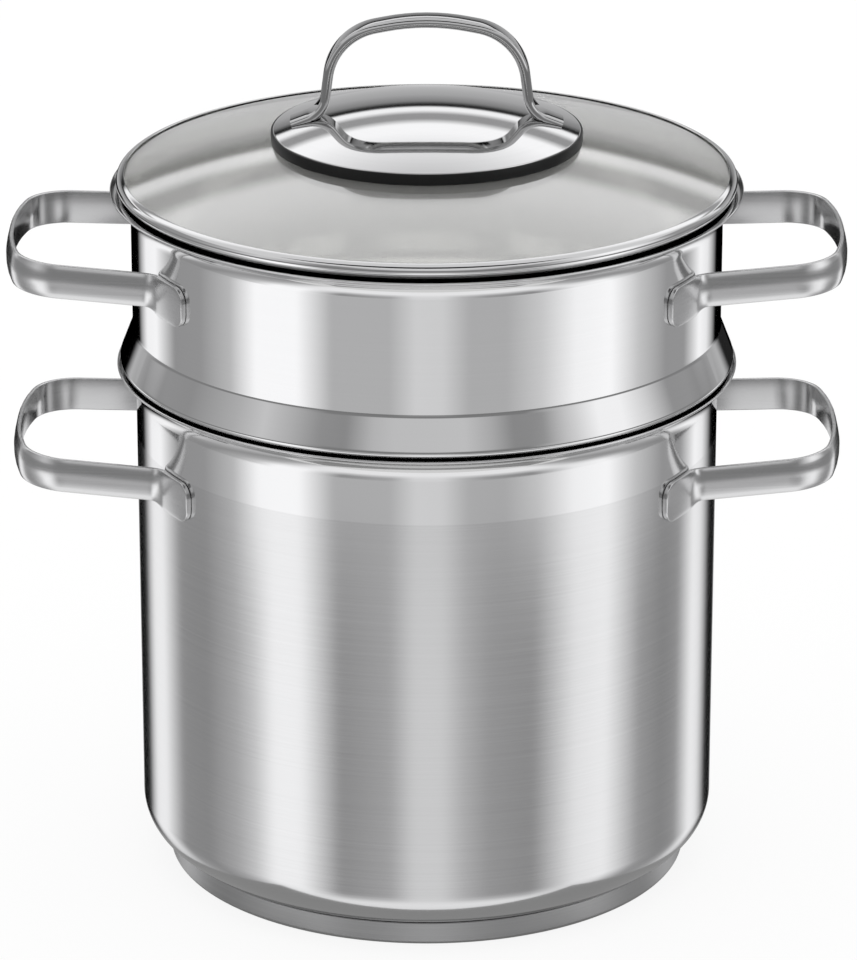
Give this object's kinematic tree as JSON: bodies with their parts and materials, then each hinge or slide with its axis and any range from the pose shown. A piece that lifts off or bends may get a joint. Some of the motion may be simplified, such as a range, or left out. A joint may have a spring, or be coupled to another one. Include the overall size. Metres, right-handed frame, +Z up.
{
  "type": "pasta pot",
  "caption": "Tall stainless steel pot with a perforated pasta insert that hangs in it, loop handles on both and a domed glass lid with a steel bow.",
  "frame": {"origin": "centre of the base on the table plane that the pot stands on", "axes": "+Z up along the pot's axis, +X through the middle of the right-hand handles, and -Y towards the picture's camera"},
  "size_m": [0.3462, 0.2608, 0.3663],
  "materials": {
    "core_aluminium": "plain rolled plate, hidden in the base",
    "base_steel": "satin stainless steel",
    "pot_steel": "satin stainless steel with a polished band under the rim",
    "insert_steel": "polished stainless steel",
    "handle_steel": "satin stainless steel with polished edges",
    "lid_steel": "mirror-polished stainless steel",
    "lid_glass": "clear toughened glass",
    "gasket_black": "smooth black rubber"
  },
  "bodies": {
    "root": {"base_core": "core_aluminium", "base_cap": "base_steel", "pot_body": "pot_steel", "pot_handle_right": "handle_steel", "pot_handle_left": "handle_steel", "insert_body": "insert_steel", "insert_handle_right": "handle_steel", "insert_handle_left": "handle_steel", "lid_glass": "lid_glass", "lid_rim": "lid_steel", "plate_gasket": "gasket_black", "lid_plate": "lid_steel", "lid_handle": "lid_steel", "inner_seal": "gasket_black", "screw_washer": "lid_steel", "lid_screw": "lid_steel"}
  },
  "joints": []
}
